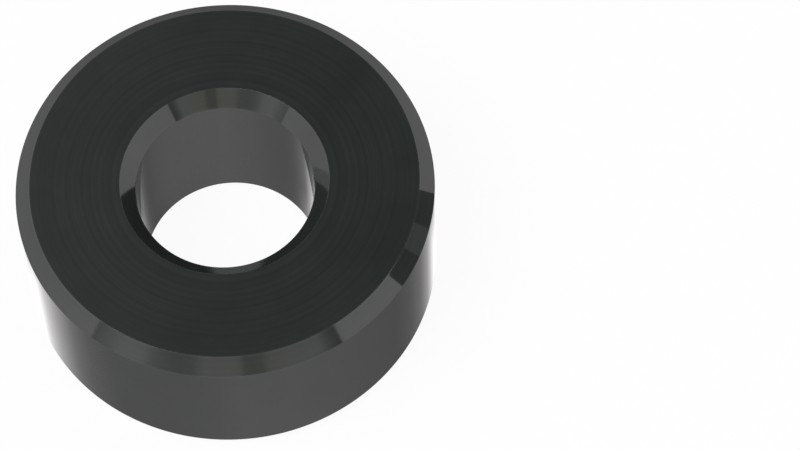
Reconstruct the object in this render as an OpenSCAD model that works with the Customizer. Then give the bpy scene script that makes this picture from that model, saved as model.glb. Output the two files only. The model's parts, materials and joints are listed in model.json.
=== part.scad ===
// Thick-walled spacer sleeve, turned in one piece from round bar.
// It stands on its foot, the end face at z = 0, with its axis along Z. All sizes are in millimetres.

/* [Body] */
// Outer diameter of the sleeve
outer_d = 28; // [24:0.5:60]
// Distance that the sleeve keeps, from end face to end face
sleeve_length = 12; // [8:0.5:60]

/* [Bore] */
// Diameter of the bore that the shaft or screw passes through
bore_d = 12; // [4:0.5:16]
// Width of the lead-in chamfer at the upper mouth of the bore, across the end face
mouth_chamfer = 1; // [0.2:0.1:1.5]
// Width of the fine edge break at the lower mouth of the bore, across the end face
foot_edge_break = 0.1; // [0.05:0.05:0.3]

/* [Outer edges] */
// Width of the chamfer around the upper end face
top_chamfer = 1; // [0.2:0.1:1.5]
// Width of the chamfer around the foot
foot_chamfer = 1; // [0.2:0.1:1.5]
// Angle of every chamfer and edge break, measured from the end face
chamfer_angle = 45; // [30:1:60]

/* [Hidden] */
outer_r = outer_d / 2;
bore_r = bore_d / 2;
// Near-black of the plastic, as it looks under even light
sleeve_colour = "#2e3030";
// Straight steps in one drawn turn of a round wall
turn_steps = 180;

// Height that a chamfer takes up along the axis, from its width across the end face
function chamfer_height(width) = width * tan(chamfer_angle);

// Section through one wall, beside the axis. It starts at the lower mouth of the bore, and runs out
// along the foot, up the outer wall, in across the upper end face and back down the bore.
module wall_section() {
    polygon([
        [bore_r + foot_edge_break, 0],
        [outer_r - foot_chamfer, 0],
        [outer_r, chamfer_height(foot_chamfer)],
        [outer_r, sleeve_length - chamfer_height(top_chamfer)],
        [outer_r - top_chamfer, sleeve_length],
        [bore_r + mouth_chamfer, sleeve_length],
        [bore_r, sleeve_length - chamfer_height(mouth_chamfer)],
        [bore_r, chamfer_height(foot_edge_break)]
    ]);
}

// The whole sleeve: the wall's section, turned once around the axis
module sleeve() {
    color(sleeve_colour)
        rotate_extrude($fn = turn_steps)
            wall_section();
}

sleeve();
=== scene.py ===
import json
import math

import bmesh
import bpy
from mathutils import Matrix, Vector


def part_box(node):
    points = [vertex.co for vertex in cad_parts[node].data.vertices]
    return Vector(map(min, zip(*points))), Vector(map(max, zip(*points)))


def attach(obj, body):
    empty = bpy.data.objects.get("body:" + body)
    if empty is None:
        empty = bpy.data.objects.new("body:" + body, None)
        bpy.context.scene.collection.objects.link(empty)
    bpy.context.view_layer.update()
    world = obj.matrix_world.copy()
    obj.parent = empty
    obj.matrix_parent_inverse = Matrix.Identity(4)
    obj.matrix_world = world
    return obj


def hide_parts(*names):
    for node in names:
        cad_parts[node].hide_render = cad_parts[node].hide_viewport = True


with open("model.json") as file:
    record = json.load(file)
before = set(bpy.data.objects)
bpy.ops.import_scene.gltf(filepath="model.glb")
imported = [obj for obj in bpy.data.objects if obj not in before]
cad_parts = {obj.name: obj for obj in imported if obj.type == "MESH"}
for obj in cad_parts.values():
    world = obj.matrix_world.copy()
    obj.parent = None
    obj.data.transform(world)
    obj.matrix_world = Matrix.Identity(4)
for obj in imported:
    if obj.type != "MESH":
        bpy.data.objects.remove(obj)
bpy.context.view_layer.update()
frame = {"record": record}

# Sleeve
# A thick-walled distance sleeve of black acetal, a hard and slippery plastic. It is turned on a lathe from
# round bar: faced, bored and chamfered, and it stands on its foot. The tool leaves every corner with a
# hair's breadth of rounding, which the solid model doesn't have, so this mesh stands for the solid.
MM = 0.001
highest_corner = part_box("sleeve")[1]
outer_r = highest_corner.x
sleeve_length = highest_corner.z
bore_mount = next(m for m in frame["record"]["mounts"] if m["name"] == "bore")
bore_r = bore_mount["dims"]["r_mm"] * MM
chamfer = 1.0 * MM
foot_edge_break = 0.1 * MM
corner_round = 0.008 * MM
# Rings of the mesh on each straight stretch, at these distances from its two ends. They lie close together
# near a corner, so that the wear there has points to fade between.
ring_distances = [d * MM for d in (0.03, 0.08, 0.16, 0.3, 0.6, 1.2, 2.2, 3.4, 4.8)]
arc_steps = 5
turn_steps = 360


def round_corner(corner, before, after):
    """Points on the small arc that stands for a corner of the wall's section."""
    to_before = (before - corner).normalized()
    to_after = (after - corner).normalized()
    half_angle = to_before.angle(to_after) / 2
    run_in = corner_round / math.tan(half_angle)
    centre = corner + (to_before + to_after).normalized() * corner_round / math.sin(half_angle)
    first_spoke = (corner + to_before * run_in - centre).normalized()
    last_spoke = (corner + to_after * run_in - centre).normalized()
    turns = [i / arc_steps for i in range(arc_steps + 1)]
    return [centre + first_spoke.slerp(last_spoke, turn) * corner_round for turn in turns]


def wall_section():
    """Rings of the section through the wall. Each is a point (radius, height), its distance from the nearest
    corner, and how far along the section it lies."""
    corners = [Vector(c) for c in (
        (bore_r + foot_edge_break, 0),
        (outer_r - chamfer, 0),
        (outer_r, chamfer),
        (outer_r, sleeve_length - chamfer),
        (outer_r - chamfer, sleeve_length),
        (bore_r + chamfer, sleeve_length),
        (bore_r, sleeve_length - chamfer),
        (bore_r, foot_edge_break),
    )]
    count = len(corners)
    arcs = [round_corner(corners[i], corners[i - 1], corners[(i + 1) % count]) for i in range(count)]
    points = []
    for i, arc in enumerate(arcs):
        points += [(point, 0.0) for point in arc]
        start, end = arc[-1], arcs[(i + 1) % count][0]
        stretch = (end - start).length
        near = [d for d in ring_distances if d < stretch / 2]
        for along in near + [stretch - d for d in reversed(near)]:
            points.append((start.lerp(end, along / stretch), min(along, stretch - along)))
    rings = []
    travelled = 0.0
    for i, (point, from_corner) in enumerate(points):
        travelled += (point - points[i - 1][0]).length if i else 0.0
        rings.append((point, from_corner, travelled))
    return rings


def turn_on_lathe(name, rings):
    """Object made by turning the section once round the axis. Each point keeps its two distances."""
    mesh = bpy.data.meshes.new(name)
    made = bmesh.new()
    from_corner_layer = made.verts.layers.float.new("from_corner")
    along_section_layer = made.verts.layers.float.new("along_section")
    loops = []
    for point, from_corner, along_section in rings:
        loop = []
        for step in range(turn_steps):
            angle = math.tau * step / turn_steps
            vert = made.verts.new((point.x * math.cos(angle), point.x * math.sin(angle), point.y))
            vert[from_corner_layer] = from_corner
            vert[along_section_layer] = along_section
            loop.append(vert)
        loops.append(loop)
    for i, loop in enumerate(loops):
        next_loop = loops[(i + 1) % len(loops)]
        for step in range(turn_steps):
            turned = (step + 1) % turn_steps
            made.faces.new((loop[step], loop[turned], next_loop[turned], next_loop[step]))
    bmesh.ops.recalc_face_normals(made, faces=made.faces)
    made.to_mesh(mesh)
    made.free()
    mesh.shade_smooth()
    turned_piece = bpy.data.objects.new(name, mesh)
    bpy.context.scene.collection.objects.link(turned_piece)
    return turned_piece


def linear(hex_colour):
    """An sRGB colour such as #1b201f, as the linear colour that Blender's sockets take."""
    parts = [int(hex_colour[i:i + 2], 16) / 255 for i in (1, 3, 5)]
    return [c / 12.92 if c <= 0.04045 else ((c + 0.055) / 1.055) ** 2.4 for c in parts] + [1.0]


def add(tree, kind, links=None, inputs=None, **settings):
    """Adds a node. links are the outputs that feed it, inputs its socket values, settings its properties."""
    node = tree.nodes.new(kind)
    for setting, value in settings.items():
        setattr(node, setting, value)
    for socket, value in (inputs or {}).items():
        node.inputs[socket].default_value = value
    for socket, output in (links or {}).items():
        tree.links.new(output, node.inputs[socket])
    return node


# Black acetal, coloured through with carbon black and turned with a sharp tool at a fine feed. The eye sees a
# near-black plastic with a faint green cast and a clear gloss, faint rings from the tool, cloudy patches from
# handling, and a slightly paler line along the corners.
acetal_black = linear("#242726")
acetal_tool_marked = linear("#373c3b")
acetal_worn = linear("#454a49")
acetal_ior = 1.48
polished_roughness = 0.04
handled_roughness = 0.06
grain_roughness = 0.02
# The finishing feed is about 0.1 mm a turn, too fine to show, so the rings are drawn 0.35 mm apart. They
# follow the section: round the faces, and up the walls and the chamfers.
ring_spacing = 0.35 * MM
ring_depth = 0.0004 * MM
# Patches from handling and from the way the chip left the tool
patch_width = 5 * MM
# Grain of the plastic
grain_width = 0.25 * MM
# Wear fades out this far from a corner
wear_width = 0.16 * MM
wear_at_corner = 0.3
# Nearly all of the noise that makes the patches lies between these two
patch_low = 0.3
patch_high = 0.7

black_acetal_turned = bpy.data.materials.new("black_acetal_turned")
black_acetal_turned.use_nodes = True
tree = black_acetal_turned.node_tree
tree.nodes.clear()
place = add(tree, "ShaderNodeTexCoord").outputs["Object"]
along_section = add(tree, "ShaderNodeAttribute", attribute_name="along_section")
tool_marks = add(
    tree, "ShaderNodeTexNoise", {"W": along_section.outputs["Fac"]},
    {"Scale": 1 / ring_spacing, "Detail": 3.0, "Roughness": 0.55},
    noise_dimensions="1D",
)
handling = add(
    tree, "ShaderNodeTexNoise", {"Vector": place},
    {"Scale": 1 / patch_width, "Detail": 4.0, "Roughness": 0.6},
)
grain = add(
    tree, "ShaderNodeTexNoise", {"Vector": place},
    {"Scale": 1 / grain_width, "Detail": 2.0, "Roughness": 0.5},
)
# The rings show most where a patch of handling hasn't polished them
ring_shade = add(
    tree, "ShaderNodeMath", {0: tool_marks.outputs["Fac"], 1: handling.outputs["Fac"]},
    operation="MULTIPLY",
)
body_colour = add(
    tree, "ShaderNodeMix", {"Factor": ring_shade.outputs["Value"]},
    {"A": acetal_black, "B": acetal_tool_marked},
    data_type="RGBA",
)
# The patches break up the wear along the corners
from_corner = add(tree, "ShaderNodeAttribute", attribute_name="from_corner")
corner_wear = add(
    tree, "ShaderNodeMapRange", {"Value": from_corner.outputs["Fac"]},
    {"From Min": 0.0, "From Max": wear_width, "To Min": wear_at_corner, "To Max": 0.0},
)
broken_wear = add(
    tree, "ShaderNodeMath", {0: corner_wear.outputs["Result"], 1: handling.outputs["Fac"]},
    operation="MULTIPLY",
)
worn_colour = add(
    tree, "ShaderNodeMix", {"Factor": broken_wear.outputs["Value"], "A": body_colour.outputs["Result"]},
    {"B": acetal_worn},
    data_type="RGBA",
)
# Handling dulls the gloss in patches, and the grain breaks it up a little everywhere
patchy_roughness = add(
    tree, "ShaderNodeMapRange", {"Value": handling.outputs["Fac"]},
    {
        "From Min": patch_low,
        "From Max": patch_high,
        "To Min": polished_roughness,
        "To Max": handled_roughness,
    },
)
grained_roughness = add(
    tree, "ShaderNodeMath", {0: grain.outputs["Fac"], 2: patchy_roughness.outputs["Result"]},
    {1: grain_roughness},
    operation="MULTIPLY_ADD",
)
turned_surface = add(
    tree, "ShaderNodeBump", {"Height": tool_marks.outputs["Fac"]},
    {"Strength": 1.0, "Distance": ring_depth},
)
plastic = add(
    tree, "ShaderNodeBsdfPrincipled",
    {
        "Base Color": worn_colour.outputs["Result"],
        "Roughness": grained_roughness.outputs["Value"],
        "Normal": turned_surface.outputs["Normal"],
    },
    {"IOR": acetal_ior},
)
add(tree, "ShaderNodeOutputMaterial", {"Surface": plastic.outputs["BSDF"]})

sleeve = turn_on_lathe("turned_sleeve", wall_section())
sleeve.data.materials.append(black_acetal_turned)
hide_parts("sleeve")
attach(sleeve, "root")

# Floor
# A plain white table top of matt laminate on board, which reaches far past the view. It lies a hair under the
# foot, so that the two don't share a plane. It shows from above only, so a view from below shows the foot.
floor_gap = 0.02 * MM
floor_half_width = 3.0
floor_corners = ((-1, -1), (1, -1), (1, 1), (-1, 1))
floor_mesh = bpy.data.meshes.new("floor")
floor_mesh.from_pydata(
    [(x * floor_half_width, y * floor_half_width, -floor_gap) for x, y in floor_corners],
    [],
    [(0, 1, 2, 3)],
)
floor = bpy.data.objects.new("floor", floor_mesh)
bpy.context.scene.collection.objects.link(floor)
# White laminate, pressed with a matt plate. The eye sees an even white with no gloss, and on it the sleeve's
# faint shadow.
laminate_white = linear("#f6f6f6")
plain_white = linear("#ffffff")
# Of what the camera, a mirror or glass sees of the table this share is plain white, and the rest keeps the
# sleeve's soft shadow.
plain_share = 0.95
white_laminate = bpy.data.materials.new("white_laminate")
white_laminate.use_nodes = True
tree = white_laminate.node_tree
tree.nodes.clear()
laminate = add(tree, "ShaderNodeBsdfDiffuse", inputs={"Color": laminate_white})
plain_table = add(tree, "ShaderNodeEmission", inputs={"Color": plain_white, "Strength": 1.0})
kind_of_ray = add(tree, "ShaderNodeLightPath")
seen_or_mirrored = add(
    tree, "ShaderNodeMath",
    {0: kind_of_ray.outputs["Is Camera Ray"], 1: kind_of_ray.outputs["Is Glossy Ray"]},
    operation="ADD",
)
background_ray = add(
    tree, "ShaderNodeMath",
    {0: seen_or_mirrored.outputs["Value"], 1: kind_of_ray.outputs["Is Transmission Ray"]},
    operation="ADD",
)
white_share = add(
    tree, "ShaderNodeMath", {0: background_ray.outputs["Value"]}, {1: plain_share},
    operation="MULTIPLY",
)
table_top = add(
    tree, "ShaderNodeMixShader",
    {0: white_share.outputs["Value"], 1: laminate.outputs["BSDF"], 2: plain_table.outputs["Emission"]},
)
open_below = add(tree, "ShaderNodeBsdfTransparent")
table_side = add(tree, "ShaderNodeNewGeometry")
one_sided_top = add(
    tree, "ShaderNodeMixShader",
    {0: table_side.outputs["Backfacing"], 1: table_top.outputs["Shader"], 2: open_below.outputs["BSDF"]},
)
add(tree, "ShaderNodeOutputMaterial", {"Surface": one_sided_top.outputs["Shader"]})
floor.data.materials.append(white_laminate)
# In the sleeve's gloss the studio's table stands for this one
floor.visible_glossy = False

# Painted reflection card
# A small card of three strips, two dark and a paler one between, close on the sleeve's right, where a studio
# stands a flag beside a glossy piece to give its edge an accent. It glows at set strengths, and only its
# reflection shows, in
# the outer chamfer: a painted reflection.
card_x = 24 * MM
card_top = 15.5 * MM
card_edges = [y * MM for y in (-10.4, -5.5, -1.55, 3.3)]
# How strongly each strip glows, painted into the chamfer's reflection
card_strip_glow = [0.16, 0.5, 0.18]
card_mesh = bpy.data.meshes.new("painted_reflection_card")
made = bmesh.new()
card_layer = made.faces.layers.float.new("brightness")
for start, end, brightness in zip(card_edges, card_edges[1:], card_strip_glow):
    corners = [(card_x, y, z) for y, z in ((start, 0), (end, 0), (end, card_top), (start, card_top))]
    strip = made.faces.new([made.verts.new(corner) for corner in corners])
    strip[card_layer] = brightness
made.to_mesh(card_mesh)
made.free()
card = bpy.data.objects.new("painted_reflection_card", card_mesh)
bpy.context.scene.collection.objects.link(card)
# Painted reflection: each strip glows at its own set strength and is not lit by the studio. The eye sees it
# only mirrored, as two dark patches on the chamfer with a paler one between them.
painted_reflection_strips = bpy.data.materials.new("painted_reflection_strips")
painted_reflection_strips.use_nodes = True
tree = painted_reflection_strips.node_tree
tree.nodes.clear()
strip_brightness = add(tree, "ShaderNodeAttribute", attribute_name="brightness")
card_glow = add(
    tree, "ShaderNodeEmission", {"Strength": strip_brightness.outputs["Fac"]},
    {"Color": plain_white},
)
add(tree, "ShaderNodeOutputMaterial", {"Surface": card_glow.outputs["Emission"]})
painted_reflection_strips.cycles.emission_sampling = "NONE"
card.data.materials.append(painted_reflection_strips)
card.visible_camera = False
card.visible_diffuse = False
card.visible_transmission = False
card.visible_shadow = False

# Studio
# The room that the sleeve's gloss mirrors, as a ball far round it: pale walls with soft panels, a dim
# ceiling, a low panel in front and a pale table. Only gloss shows it. Its brightness is listed direction by
# direction and it lights nothing, so all it gives is a painted reflection.

# Each list has pairs of an angle in degrees and a brightness, or a share of one, and runs straight between
# them. A bearing is 0 behind the sleeve, 90 at its right and 180 at the camera. A height is 90 straight up.
walls_round = [
    (-180, 1.25), (-168, 1.24), (-163, 0.80), (-155, 0.72), (-149, 0.90), (-146, 1.08), (-142, 1.52),
    (-133, 1.63), (-128, 1.28), (-122, 0.95), (-121, 0.88), (-120, 1.83), (-95, 1.66), (-75, 1.75),
    (-45, 1.90), (0, 1.95), (70, 2.00), (133, 1.90), (134, 0.25), (138, 0.52), (143, 1.22), (164, 1.14),
    (168, 0.67), (175, 0.65), (177, 1.10), (180, 1.25),
]
walls_up = [
    (-45, 0.0), (-35, 0.07), (-25, 0.162), (-15, 0.335), (-5, 0.55), (5, 0.77), (15, 1.0), (35, 1.0),
    (48, 0.0),
]
# The ceiling dims from left to right
ceiling_up = [(35, 0.0), (50, 1.0)]
ceiling_across = [(-14.5, 0.55), (-4.4, 0.22), (-0.4, 0.05), (5.7, 0.0)]
# The outer wall mirrors the table just below the change in height, and the bore mirrors it just above
table_under_wall = [
    (-180, 0.56), (-168, 0.50), (-150, 0.43), (-124, 0.35), (-105, 0.31), (-88, 0.35), (-76, 0.48),
    (-61, 0.91), (-49, 1.34), (-41, 1.85), (-35, 1.95), (-25, 1.40), (0, 1.20), (11, 1.35), (20, 1.55),
    (25, 1.35), (35, 0.70), (47, 0.38), (60, 0.27), (75, 0.24), (90, 0.30), (122, 0.44), (148, 0.53),
    (180, 0.56),
]
table_under_bore = [
    (-180, 0.89), (-165, 0.83), (-140, 0.69), (-116, 0.50), (-95, 0.38), (-80, 0.34), (-69, 0.37),
    (-57, 0.41), (-45, 0.77), (-33, 0.95), (-20, 1.18), (8, 1.18), (22, 0.33), (30, 0.36), (35, 0.42),
    (39, 0.34), (44, 0.31), (50, 0.27), (59, 0.275), (65, 0.31), (80, 0.43), (103, 0.62), (126, 0.76),
    (150, 0.86), (180, 0.89),
]
table_change = [(-63.1, 0.0), (-62.5, 1.0)]
table_up = [(-36, 1.0), (-32.5, 0.0)]
# Right under the sleeve the painted table glows evenly
table_underfoot = 0.6
underfoot_up = [(-80, 1.0), (-70, 0.0)]
low_panel_round = [(-168, 6.0), (-164, 0.0), (164, 0.0), (168, 6.0)]
low_panel_up = [(-34, 0.0), (-32, 1.0), (-22, 1.0), (-20, 0.0)]
# How cream the paint is, from 0 to 1: only round the camera and above it
cream_round = [(-180, 0.9), (-155, 0.0), (148, 0.0), (163, 1.0), (178, 1.0), (180, 0.9)]
cream_up = [(23, 0.0), (29, 1.0)]


def between(steps, angle):
    """What a list of pairs gives at an angle. Before its first pair and after its last, it stays level."""
    if angle <= steps[0][0]:
        return steps[0][1]
    for (low, low_value), (high, high_value) in zip(steps, steps[1:]):
        if angle <= high:
            return low_value + (high_value - low_value) * (angle - low) / (high - low)
    return steps[-1][1]


def studio_brightness(bearing, height, across):
    """How bright the studio is in a direction from the sleeve. across is its angle to the sleeve's right."""
    walls = between(walls_round, bearing) * between(walls_up, height)
    ceiling = between(ceiling_across, across) * between(ceiling_up, height)
    under_bore = between(table_change, height)
    table = between(table_under_bore, bearing) * under_bore
    table += between(table_under_wall, bearing) * (1 - under_bore)
    table += (table_underfoot - table) * between(underfoot_up, height)
    low_panel = between(low_panel_round, bearing) * between(low_panel_up, height)
    return walls + ceiling + table * between(table_up, height) + low_panel


def with_listed(regular, *lists):
    """The regular angles, and every angle between them that the lists name, in order."""
    listed = {angle for steps in lists for angle, value in steps if min(regular) < angle < max(regular)}
    return sorted(listed | set(regular))


studio_r = 2.5
bearing_step = 3
height_step = 2
studio_bearings = with_listed(
    range(-180, 180, bearing_step), walls_round, table_under_wall, table_under_bore, low_panel_round,
)
studio_heights = with_listed(
    range(-89, 90, height_step), walls_up, ceiling_up, table_change, underfoot_up, table_up, low_panel_up,
)
studio_mesh = bpy.data.meshes.new("studio_room")
made = bmesh.new()
brightness_layer = made.verts.layers.float.new("brightness")
cream_layer = made.verts.layers.float.new("cream")
rows = []
for height in studio_heights:
    row = []
    for bearing in studio_bearings:
        direction = Vector((
            math.cos(math.radians(height)) * math.sin(math.radians(bearing)),
            math.cos(math.radians(height)) * math.cos(math.radians(bearing)),
            math.sin(math.radians(height)),
        ))
        across = math.degrees(math.asin(direction.x))
        vert = made.verts.new(direction * studio_r)
        vert[brightness_layer] = studio_brightness(bearing, height, across)
        vert[cream_layer] = between(cream_round, bearing) * between(cream_up, height)
        row.append(vert)
    rows.append(row)
for low_row, high_row in zip(rows, rows[1:]):
    for i in range(len(low_row)):
        turned = (i + 1) % len(low_row)
        made.faces.new((low_row[i], low_row[turned], high_row[turned], high_row[i]))
# Small caps close the ball straight below and straight above
made.faces.new(rows[0])
made.faces.new(rows[-1])
made.to_mesh(studio_mesh)
made.free()
studio_room = bpy.data.objects.new("studio_room", studio_mesh)
bpy.context.scene.collection.objects.link(studio_room)
# Walls, panels and table in glowing paint, each set to its own brightness and not lit: a painted reflection.
# The eye sees it only mirrored, as the soft bands in the sleeve's gloss.
paint_white = linear("#fffcfd")
paint_cream = linear("#fffce8")
painted_room_reflection = bpy.data.materials.new("painted_room_reflection")
painted_room_reflection.use_nodes = True
tree = painted_room_reflection.node_tree
tree.nodes.clear()
brightness = add(tree, "ShaderNodeAttribute", attribute_name="brightness")
cream = add(tree, "ShaderNodeAttribute", attribute_name="cream")
paint = add(
    tree, "ShaderNodeMix", {"Factor": cream.outputs["Fac"]},
    {"A": paint_white, "B": paint_cream},
    data_type="RGBA",
)
# The painted reflection's glow, at the brightness listed for each point of the ball
room_glow = add(
    tree, "ShaderNodeEmission", {"Strength": brightness.outputs["Fac"], "Color": paint.outputs["Result"]},
)
add(tree, "ShaderNodeOutputMaterial", {"Surface": room_glow.outputs["Emission"]})
painted_room_reflection.cycles.emission_sampling = "NONE"
studio_room.data.materials.append(painted_room_reflection)
studio_room.visible_camera = False
studio_room.visible_diffuse = False
studio_room.visible_transmission = False
studio_room.visible_shadow = False

# Light
# Plain white light from all round, and a softbox high on the left in front, together at the level where white
# is white. What the camera, a mirror or glass sees past the floor and the studio is plain white.
sky_strength = 0.45
even_light = bpy.data.worlds.new("even_white_light")
bpy.context.scene.world = even_light
even_light.use_nodes = True
tree = even_light.node_tree
tree.nodes.clear()
sky_light = add(tree, "ShaderNodeBackground", inputs={"Color": plain_white, "Strength": sky_strength})
white_backdrop = add(tree, "ShaderNodeBackground", inputs={"Color": plain_white, "Strength": 1.0})
kind_of_ray = add(tree, "ShaderNodeLightPath")
seen_or_mirrored = add(
    tree, "ShaderNodeMath",
    {0: kind_of_ray.outputs["Is Camera Ray"], 1: kind_of_ray.outputs["Is Glossy Ray"]},
    operation="ADD",
)
background_ray = add(
    tree, "ShaderNodeMath",
    {0: seen_or_mirrored.outputs["Value"], 1: kind_of_ray.outputs["Is Transmission Ray"]},
    operation="ADD",
)
world_light = add(
    tree, "ShaderNodeMixShader",
    {
        0: background_ray.outputs["Value"],
        1: sky_light.outputs["Background"],
        2: white_backdrop.outputs["Background"],
    },
)
add(tree, "ShaderNodeOutputWorld", {"Surface": world_light.outputs["Shader"]})

softbox_width = 0.414
softbox_watts = 5.9
softbox_place = Vector((-0.375, -0.283, 0.883))
softbox_light = bpy.data.lights.new("softbox", "AREA")
softbox_light.shape = "SQUARE"
softbox_light.size = softbox_width
softbox_light.energy = softbox_watts
softbox = bpy.data.objects.new("softbox", softbox_light)
bpy.context.scene.collection.objects.link(softbox)
softbox.location = softbox_place
softbox.rotation_euler = softbox_place.to_track_quat("Z", "Y").to_euler()
softbox.visible_camera = False

# Camera
# A long lens that looks down on the sleeve from in front, at the photograph's angle. It is aimed to the right
# of the sleeve, which fills the left half of the frame.
focal_length_mm = 189.46
sensor_width_mm = 36.0
camera_place = Vector((0.0115835, -0.1301847, 0.2601100))
looked_at = Vector((0.0115835, 0.0018183, 0.0010040))
camera_roll = math.radians(-1.826)
lens_data = bpy.data.cameras.new("camera")
lens_data.lens = focal_length_mm
lens_data.sensor_width = sensor_width_mm
camera = bpy.data.objects.new("camera", lens_data)
bpy.context.scene.collection.objects.link(camera)
aim = (looked_at - camera_place).to_track_quat("-Z", "Y").to_matrix().to_4x4()
camera.matrix_world = Matrix.Translation(camera_place) @ aim @ Matrix.Rotation(camera_roll, 4, "Z")
bpy.context.scene.camera = camera
bpy.context.scene.view_settings.view_transform = "Standard"
